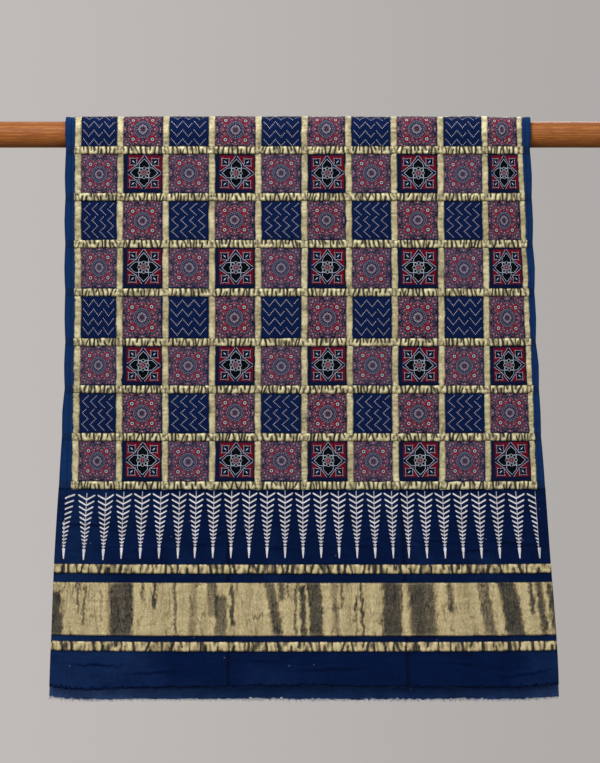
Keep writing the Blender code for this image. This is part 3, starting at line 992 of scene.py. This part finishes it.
def leaf_print():
    """Indigo cotton with sprays of white resist leaves: matt, a little washed out, the print chipped."""
    first, step, tighten = 14.6, 10.9, 0.241  # the leaf pairs start at first and stand closer and closer
    point_from, point_to, last_spray = 108.8, 129.6, SPRAYS_ACROSS - 1.0
    material, tree, shader = finish_for("leaf_printed_indigo_cotton", 0.8, specular=0.04)
    place = add(tree, "SeparateXYZ", add(tree, "UVMap", uv_map="print"))
    number, down = place.outputs[0], place.outputs[1]
    nearest = add(tree, "Math.ROUND", number)
    x_signed = add(tree, "Math.MULTIPLY", add(tree, "Math.SUBTRACT", number, nearest), SPRAY_PITCH)
    x = add(tree, "Math.ABSOLUTE", x_signed)
    rising = add(tree, "Math.MULTIPLY_ADD", x, 0.58, down)
    under_root = step * step + 4 * tighten * first
    under_root = add(tree, "Math.MULTIPLY_ADD", rising, -4 * tighten, under_root)
    root = add(tree, "Math.POWER", add(tree, "Math.MAXIMUM", under_root, 0.01), 0.5)
    leaf = add(tree, "Math.MULTIPLY_ADD", root, -1 / (2 * tighten), step / (2 * tighten))
    leaf = add(tree, "Math.ROUND", leaf)
    spaced = add(tree, "Math.MULTIPLY_ADD", leaf, -tighten, step)
    joint = add(tree, "Math.MULTIPLY_ADD", spaced, leaf, first)
    beside = add(tree, "Math.SUBTRACT", rising, joint)
    length = add(tree, "Math.MULTIPLY_ADD", leaf, -1.06, 13.4)
    beyond = add(tree, "Math.MAXIMUM", add(tree, "Math.SUBTRACT", x, length), 0.0)
    away = add(tree, "VectorMath.LENGTH", add(tree, "CombineXYZ", beside, beyond, 0.0)).outputs["Value"]
    width = add(tree, "Math.MULTIPLY_ADD", leaf, -0.035, 1.62)
    leaves = add(tree, "MapRange", add(tree, "Math.SUBTRACT", away, width), 0.25, -0.25, 0.0, 1.0)
    leaves = add(tree, "Math.MULTIPLY", leaves, add(tree, "Math.COMPARE", leaf, 5.5, 5.6))

    # The first and last sprays were cut through by the edge of the cloth.
    cut_off = add(tree, "MapRange", down, 56.0, 58.0, 1.2, -2.8)
    kept = add(tree, "Math.GREATER_THAN", x_signed, cut_off)
    outer = add(tree, "Math.MAXIMUM", add(tree, "Math.GREATER_THAN", nearest, 0.0), kept)
    inner = add(tree, "Math.LESS_THAN", nearest, last_spray)
    inner = add(tree, "Math.MAXIMUM", inner, add(tree, "Math.LESS_THAN", x_signed, 0.0))
    printed = add(tree, "Math.MULTIPLY", outer, inner)
    stem = add(tree, "MapRange", x, 1.0, 0.6, 0.0, 0.62)
    stem = add(tree, "Math.MULTIPLY", stem, add(tree, "Math.COMPARE", down, 56.5, 55.0))
    point_width = add(tree, "MapRange", down, point_from, point_to, 2.8, 0.8)
    point = add(tree, "Math.LESS_THAN", x, point_width)
    middle, reach = (point_from + point_to) / 2, (point_to - point_from) / 2
    point = add(tree, "Math.MULTIPLY", point, add(tree, "Math.COMPARE", down, middle, reach))
    leaves = add(tree, "Math.MULTIPLY", add(tree, "Math.MAXIMUM", leaves, stem), printed)
    counted = add(tree, "Math.COMPARE", nearest, last_spray / 2, last_spray / 2 + 0.1)
    spray = add(tree, "Math.MULTIPLY", add(tree, "Math.MAXIMUM", leaves, point), counted)
    flat = add(tree, "UVMap", uv_map="flat")
    whole = add(tree, "MapRange", add(tree, "TexNoise", flat, 0.85, 2, 0.6), 0.30, 0.40, 0.35, 1.0)
    spray = add(tree, "Math.MULTIPLY", spray, whole)

    wash = add(tree, "TexNoise", flat, 0.006, 3, 0.6)
    # the tone attribute: above 0 paler places and the back hem's bleach and painted light, below 0 painted
    # shade
    paling_and_painted_shade = add(tree, "Attribute", attribute_name="tone").outputs["Fac"]
    wash = add(tree, "Math.ADD", wash, paling_and_painted_shade)
    speck = add(tree, "TexVoronoi", flat, 0.010, 0, 0.5, 2, 1.0, voronoi_dimensions="2D")
    specks = add(tree, "Math.LESS_THAN", speck.outputs["Distance"], 0.012)
    layers = (
        (add(tree, "MapRange", wash, 0.42, 0.85, 0.0, 1.0, clamp=False), PANEL_WASHED),
        # past 1 the back hem's bleach and painted light; below 0 the painted shade colour
        (add(tree, "MapRange", paling_and_painted_shade, 1.0, 2.0, 0.0, 1.0), PANEL_BLEACHED_AND_PAINTED_LIGHT),
        (add(tree, "MapRange", paling_and_painted_shade, 0.0, -1.0, 0.0, 1.0), PANEL_PAINTED_SHADE),
        (add(tree, "Math.MULTIPLY", specks, 0.35), "#9a86a0"),
        (spray, LEAF_WHITE),
    )
    woven(tree, shader, laid_over(tree, PANEL_NAVY, layers), 0.42, 0.7, 2.2)
    return material


def panel_relief(across, run):
    """How far the end panel stands out over its broad folds, from pressed creases, wrinkles and unevenness,
    and how much painted shade darkens its pressed creases and the lower flanks of its wrinkles."""
    level = np.abs(run)
    lift = 0.0006 * wander(across, level * 1.6, 0.09, 21)
    lift = lift + 0.00035 * wander(across * 0.5, level * 2.4, 0.03, 22)
    dark = 0
    for crease in PRESSED_CREASES:
        away = np.abs(across - crease) / CREASE_WIDTH
        lift = lift - 0.0007 * np.exp(-(away**2))
        # painted shade along each pressed crease
        dark = dark + 0.85 * np.exp(-(away**2))
    for wrinkle in WRINKLES:
        along = (across - wrinkle.across) * 0.95
        aside = level - wrinkle.run - wrinkle.lean * along - 0.0015 * wander(along, 0 * along, 0.02, 23)
        shape_along = np.exp(-((along / (wrinkle.length / 2)) ** 2))
        ridge = np.exp(-((aside / 0.003) ** 2)) - 0.6 * np.exp(-(((aside - 0.005) / 0.004) ** 2))
        lift = lift + 2.0 * wrinkle.depth * shape_along * ridge
        # painted shade on each wrinkle's lower flank, the side turned from the light above
        flank = np.exp(-(((aside - 0.0026) / 0.0018) ** 2))
        dark = dark + 650 * wrinkle.depth * shape_along * flank
    return lift, dark


def panel_grid(way, columns, rows):
    """The grid of one end panel, from under the last gathered strip to the raw hem."""

    def place(across, down):
        """Most rows go where the panel shows, above and below the bands, so that its wrinkles come out."""
        share = 1 - down if way > 0 else down
        run = way * np.interp(share, *zip(*PANEL_ROWS))
        left, right = sides(run)
        ragged = 0.0014 * wander(across, 0 * across, 0.006, 31 + way)
        ragged = ragged + 0.0011 * wander(across, 0 * across, 0.017, 32)
        to_hem = HEM - np.abs(run)
        run = run + way * ragged * ease(1 - to_hem / 0.010)
        x = left + across * (right - left)
        number = np.interp(across, [spray.across for spray in SPRAYS], [spray.number for spray in SPRAYS])
        number = number + np.clip(across - SPRAYS[-1].across, 0, 1) * SPRAYS_ACROSS
        number = number - np.clip(SPRAYS[0].across - across, 0, 1) * SPRAYS_ACROSS
        upper = np.clip((BANDS[0].start - np.abs(run)) / (BANDS[0].start - PATCHWORK_END), 0, 1)
        number = number + 0.17 * ease((0.045 - across) / 0.03) * upper
        lower = np.interp(across, [spray.across for spray in SPRAYS], [spray.lower for spray in SPRAYS])
        down_mm = (np.abs(run) - PATCHWORK_END) * 1000 - 0.6 - lower
        relief, dark = panel_relief(across, run)
        seen = across if way > 0 else 1 - across
        # paler towards the left side as each panel is seen, a little towards the other side, and more lower
        # down
        paler = 0.30 * ease((0.10 - seen) / 0.10) + 0.22 * ease((0.34 - seen) / 0.34)
        paler = paler + 0.12 * ease((seen - 0.9) / 0.1)
        paler = paler * (0.4 + 0.6 * ease((np.abs(run) - BANDS[0].start) / 0.2))
        if way < 0:
            # the back hem's last strip is paler, most towards the left as seen from the front: partly
            # bleached, partly painted light that lifts the shadow cast by the front hem
            bleached_and_painted_light = 1.15 + 1.1 * ease((0.36 - across) / 0.36)
            paler = paler + bleached_and_painted_light * ease(1 - (to_hem - 0.018) / 0.012)
            # darker over the back hem's last few millimetres
            dark = dark + 0.25 * (1 + wander(across, 0 * across, 0.02, 33)) * ease(1 - to_hem / 0.004)
        else:
            # a dark ragged line of painted shadow along the front hem's edge, as far up as frayed reaches
            frayed = 0.0019 * 1.9 ** wander(across, 0 * across, 0.006, 34)
            dark = dark + 1.5 * ease(1.4 - to_hem / frayed)
        return run, x, PANEL_LIFT + relief, (number, down_mm), paler - 0.10 - dark

    return columns, rows, 0, place


LEAF_PRINT = leaf_print()
for side_name, way, density in (("front", 1, (300, 100)), ("back", -1, (180, 56))):
    grid = panel_grid(way, *density)
    panel = cloth(f"navy_end_panel_{side_name}", [grid], [LEAF_PRINT], PANEL_THICKNESS)
    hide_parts(f"end_panel_{side_name}")


# ---- Gold bands
# Three woven zari bands are laid over each end panel and stitched down along both edges. The wide one is
# loose enough to buckle into upright troughs; painted shade darkens each trough and a painted highlight
# brightens its shoulders, the narrow ones take painted pleat light, and painted shade lines every band's
# stitched edges.
BAND_THICKNESS = 0.0006
BAND_LIFT = 0.0016
TROUGH_DEPTH = 0.0011
Trough = namedtuple("Trough", "across half_width lean start end dark")
TROUGHS = (  # start and end are shares of the band's height, lean is how far it moves right on the way down, and dark is how much painted shade it gets
    Trough(0.003, 0.0105, 0.006, 0.25, 1.00, 0.90),
    Trough(0.022, 0.0030, -0.002, 0.35, 1.00, 0.45),
    Trough(0.049, 0.0025, 0.002, 0.00, 0.55, 0.45),
    Trough(0.064, 0.0022, -0.003, 0.10, 0.75, 0.50),
    Trough(0.096, 0.0020, 0.003, 0.20, 0.70, 0.40),
    Trough(0.136, 0.0225, 0.002, 0.00, 1.00, 0.78),
    Trough(0.153, 0.0060, 0.001, 0.10, 1.00, 0.20),
    Trough(0.179, 0.0030, 0.001, 0.00, 0.28, 0.60),
    Trough(0.204, 0.0032, -0.002, 0.00, 0.45, 0.75),
    Trough(0.244, 0.0028, 0.001, 0.00, 1.00, 0.60),
    Trough(0.280, 0.0080, 0.000, 0.00, 1.00, 0.28),
    Trough(0.318, 0.0090, 0.004, 0.00, 0.60, 0.50),
    Trough(0.338, 0.0110, -0.003, 0.30, 1.00, 0.58),
    Trough(0.359, 0.0040, 0.000, 0.10, 0.75, 0.80),
    Trough(0.432, 0.0090, 0.017, 0.00, 0.95, 0.58),
    Trough(0.456, 0.0065, 0.002, 0.00, 0.30, 0.70),
    Trough(0.470, 0.0022, 0.001, 0.00, 0.24, 0.65),
    Trough(0.487, 0.0030, -0.004, 0.00, 1.00, 0.60),
    Trough(0.500, 0.0055, -0.001, 0.12, 1.00, 0.95),
    Trough(0.523, 0.0130, 0.002, 0.00, 1.00, 0.80),
    Trough(0.562, 0.0060, 0.006, 0.00, 1.00, 0.35),
    Trough(0.577, 0.0032, 0.003, 0.00, 0.45, 0.60),
    Trough(0.604, 0.0022, 0.001, 0.30, 1.00, 0.60),
    Trough(0.616, 0.0024, 0.001, 0.00, 1.00, 0.72),
    Trough(0.680, 0.0190, -0.005, 0.00, 1.00, 0.90),
    Trough(0.735, 0.0260, 0.003, 0.00, 1.00, 0.74),
    Trough(0.793, 0.0060, 0.004, 0.00, 0.50, 0.60),
    Trough(0.861, 0.0110, 0.009, 0.00, 1.00, 0.52),
    Trough(0.908, 0.0170, 0.013, 0.00, 1.00, 0.90),
    Trough(0.955, 0.0045, 0.003, 0.00, 0.55, 0.78),
    Trough(0.972, 0.0065, 0.006, 0.00, 1.00, 0.66),
    Trough(0.993, 0.0060, 0.008, 0.10, 1.00, 0.75),
)
NARROW_PLEATS = (0.004, 0.024)
NARROW_HOLLOWS = (0.0008, 0.0055)
BAND_ZARI = zari_tissue("woven_gold_zari_band", 2.4, 0.30, 1.0, 0.45, 0.3, "#ebe2d9")


def loose_troughs(seed):
    """Troughs for the back's wide band, spread and sized like the front's."""
    random = np.random.default_rng(seed)
    troughs = []
    for across in np.linspace(0.015, 0.985, 30):
        half_width = random.choice((0.0024, 0.003, 0.006, 0.012, 0.02))
        start, end = random.choice(((0.0, 1.0), (0.0, 0.5), (0.3, 1.0)))
        middle = across + random.uniform(-0.012, 0.012)
        lean = random.uniform(-0.006, 0.010)
        troughs.append(Trough(middle, half_width, lean, start, end, random.uniform(0.4, 0.9)))
    return tuple(troughs)


def band_grid(band, way, troughs, columns, rows):
    """The grid of one band. Only a band with troughs buckles; a narrow one is drawn up in small pleats."""
    seed = [int(band.start * 1000), way > 0]

    def place(across, down):
        share = 1 - down if way > 0 else down
        run = way * (band.start + share * (band.end - band.start))
        left, right = sides(run)
        x = left + across * (right - left)
        seen = across if way > 0 else 1 - across
        edge = np.minimum(share, 1 - share) * (band.end - band.start)
        held = ease(edge / 0.006)
        height = 0
        tone = 0.80 + 0.06 * wander(x, share * 0.01, 0.02, seed[0])
        if troughs:
            rough = 0.0014 * wander(x, share * 0.06, 0.016, 71)
            rough = rough + 0.0012 * wander(x, share * 0.07, 0.006, 72)
            for trough in troughs:
                waver = 0.0010 * wander(share * 0.1, 0 * share, 0.04, int(trough.across * 1000))
                away = (seen - trough.across) * (right - left) - trough.lean * share - waver - rough
                sharpness = 8 if trough.half_width > 0.008 else 3
                across_it = np.exp(-(np.abs(away / trough.half_width) ** sharpness))
                soft = 0.10
                down_it = ease((share - trough.start + soft) / soft)
                down_it = down_it * ease((trough.end + soft - share) / soft)
                height = height - trough.dark * across_it * down_it
                # painted shade in the trough
                tone = tone - 0.78 * trough.dark * across_it * down_it * (0.55 + 0.45 * held)
                shoulder = np.exp(-(((np.abs(away) / trough.half_width - 1.6) / 0.5) ** 2))
                height = height + 0.35 * trough.dark * shoulder * down_it
                # painted highlight on the trough's shoulders
                tone = tone + 0.10 * trough.dark * shoulder * down_it
            height = height + 0.35 * wander(x, share * 0.02, 0.016, seed[0] + 5) * held
            lift = BAND_LIFT + TROUGH_DEPTH * np.clip(height, -1.1, 1) * held
            small = wander(x, share * 0.012, 0.007, seed[0] + 9)
            tone = np.maximum(tone, 0.17) + 0.07 * small * (1 - share)
        else:
            v = 2 * share - 1
            height, tone = pleated(seed, across * 0.96, v, 0.96, NARROW_PLEATS, NARROW_HOLLOWS, 0.0016)
            dim = ease((wander(x, 0 * x, 0.05, seed[0] + 3) - 0.3) / 0.4)
            tone = tone - 0.34 * dim
            lift = BAND_LIFT + 0.0006 * height * (0.3 + 0.7 * held)
        # painted shade along the stitched edges
        tone = tone - 0.4 * (1 - ease(edge / 0.0015))
        lift = lift + panel_relief(across, run)[0] * 0.8
        return run, x, lift, (x * 1000, share), tone

    return columns, rows, 0, place


bands = {"front": [], "back": []}
for side_name, way, wide_density, narrow_density, troughs in (
    ("front", 1, (760, 36), (500, 6), TROUGHS),
    ("back", -1, (300, 16), (300, 4), loose_troughs(17)),
):
    for band in BANDS:
        is_wide = band.name == "wide_band"
        density = wide_density if is_wide else narrow_density
        grid = band_grid(band, way, troughs if is_wide else None, *density)
        piece = cloth(f"gold_{band.name}_{side_name}", [grid], [BAND_ZARI], BAND_THICKNESS)
        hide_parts(f"{band.name}_{side_name}")
        bands[side_name].append(piece)


# ---- Raw hems
# Both ends were torn along the weave and left raw, so a short fringe of loose warp threads stands along
# them, uneven in length and bent every way; washing has paled the tips of the longer ones at the back.
THREAD_RADIUS = 0.00036  # thicker than a cotton thread, so that the fringe shows
THREAD_PITCH = 0.00100
THREAD_LENGTHS = {"front": (0.0014, 0.0046), "back": (0.0022, 0.0064)}
THREAD_ROOT = 0.0012  # how far up in the cloth a thread starts


def loose_thread(name, low_colour, high_colour):
    """Loose cotton threads: dull, fuzzy and uneven in colour along the hem."""
    material, tree, shader = finish_for(name, 0.85, specular=0.06)
    place = add(tree, "TexCoord").outputs["Object"]
    patchy = add(tree, "TexNoise", place, 240, 2, 0.6)
    colour = add(tree, "ValToRGB", patchy, stops=((0.35, low_colour), (0.68, high_colour)))
    feed(tree, shader.inputs["Base Color"], colour)
    return material


# the front threads are their indigo darkened almost to black, as painted shadow along the front hem; the back
# ones pale towards their tips
for side_name, way, colours in (("front", 1, ("#040a1a", "#182a54")), ("back", -1, ("#22396a", "#8e9ab4"))):
    random = np.random.default_rng(5 + way)
    left, right = (float(edge) for edge in sides(np.float64(way * HEM)))
    count = int((right - left) / THREAD_PITCH)
    fringe = bpy.data.curves.new(f"frayed_hem_{side_name}", "CURVE")
    fringe.dimensions = "3D"
    fringe.bevel_depth = THREAD_RADIUS
    fringe.bevel_resolution = 0
    fringe.use_fill_caps = True
    for number in range(count):
        x = left + (right - left) * (number + random.uniform(0.1, 0.9)) / count
        length = random.uniform(*THREAD_LENGTHS[side_name]) * random.choice((0.7, 1.0, 1.25))
        across = np.array([(x - left) / (right - left)])
        start = way * (HEM - THREAD_ROOT)
        root = drape(np.array([start]), np.array([x]), np.array([PANEL_LIFT - PANEL_THICKNESS / 2]))[0]
        bend = Vector((random.normal(0, 0.6), -way * random.uniform(-0.25, 0.45), -1)).normalized()
        curl = Vector((random.normal(0, 0.6), random.normal(0, 0.35), -0.6)).normalized()
        points = [Vector(root)]
        points.append(points[0] + Vector((0, 0, -THREAD_ROOT)))
        points.append(points[1] + bend * length * 0.5)
        points.append(points[2] + (bend + curl).normalized() * length * 0.5)
        spline = fringe.splines.new("POLY")
        spline.points.add(len(points) - 1)
        for point, place, radius in zip(spline.points, points, (1.0, 1.0, 0.8, 0.45)):
            point.co = (*place, 1)
            point.radius = radius
    fringe.materials.append(loose_thread(f"loose_indigo_threads_{side_name}", *colours))
    piece = bpy.data.objects.new(f"frayed_hem_{side_name}", fringe)
    bpy.context.scene.collection.objects.link(piece)
    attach(piece, "root")


# ---- Stage, light and camera
# A small pale floor far below the hem, a plain grey room whose wall, as the camera sees it, is painted a
# little lighter on the left than on the right, one large soft light from above and to the left of the front,
# weaker ones for the right and the back, and a level camera straight in front.
FLOOR_DROP = 1.38
VIEW_HEIGHT = 1.4497
CAMERA_DISTANCE = 9.0
CAMERA_Z = -0.4706

shape = bmesh.new()
bmesh.ops.create_circle(
    shape, cap_ends=True, segments=96, radius=0.72, matrix=Matrix.Translation((0, 0.05, -FLOOR_DROP))
)
floor_mesh = bpy.data.meshes.new("floor")
shape.to_mesh(floor_mesh)
shape.free()
floor_material, _, floor_shader = finish_for("pale_floor", 0.9)
floor_shader.inputs["Base Color"].default_value = linear("#d9d6d2")
floor_mesh.materials.append(floor_material)
floor = bpy.data.objects.new("floor", floor_mesh)
bpy.context.scene.collection.objects.link(floor)

world = bpy.data.worlds.new("plain_room")
world.use_nodes = True
tree = world.node_tree
background = tree.nodes["Background"]
direction = add(tree, "TexCoord").outputs["Generated"]
parts = add(tree, "SeparateXYZ", direction)
to_right = add(tree, "MapRange.SMOOTHSTEP", parts.outputs[0], -0.08, 0.08, 0.0, 1.0)
# the wall the camera sees is painted lighter on the left than on the right: painted light and shade
wall = add(tree, "Mix.RGBA", to_right, "#c0bbb8", "#aeaaa7")
upward = add(tree, "MapRange", parts.outputs[2], -0.6, 0.9, 0.0, 1.0)
room = add(tree, "Mix.RGBA", upward, "#2c2a28", "#e2e5e9")
seen = add(tree, "LightPath").outputs["Is Camera Ray"]
either = add(tree, "Mix.RGBA", seen, room, wall)
feed(tree, background.inputs["Color"], either)
background.inputs["Strength"].default_value = 1.0
bpy.context.scene.world = world

Lamp = namedtuple("Lamp", "name place size power")
LAMPS = (
    Lamp("key_above_left", (-1.4, -2.6, 2.2), 1.4, 86),
    Lamp("fill_right", (2.2, -2.4, 0.3), 1.8, 14),
    Lamp("fill_below_left", (-0.9, -3.0, -1.1), 1.6, 9),
    Lamp("back_light", (0.8, 2.6, 1.5), 1.8, 40),
)
for lamp in LAMPS:
    light = bpy.data.lights.new(lamp.name, "AREA")
    light.shape = "DISK"
    light.size = lamp.size
    light.energy = lamp.power
    holder = bpy.data.objects.new(lamp.name, light)
    holder.location = lamp.place
    aim = Vector((0, 0, -0.45)) - Vector(lamp.place)
    holder.rotation_euler = aim.to_track_quat("-Z", "Y").to_euler()
    bpy.context.scene.collection.objects.link(holder)

camera_data = bpy.data.cameras.new("camera")
camera_data.lens = camera_data.sensor_width * CAMERA_DISTANCE / VIEW_HEIGHT
camera = bpy.data.objects.new("camera", camera_data)
camera.location = (0, -CAMERA_DISTANCE - CLOTH_RADIUS, CAMERA_Z)
camera.rotation_euler = (math.pi / 2, 0, 0)
bpy.context.scene.collection.objects.link(camera)
bpy.context.scene.camera = camera
bpy.context.scene.view_settings.view_transform = "Standard"
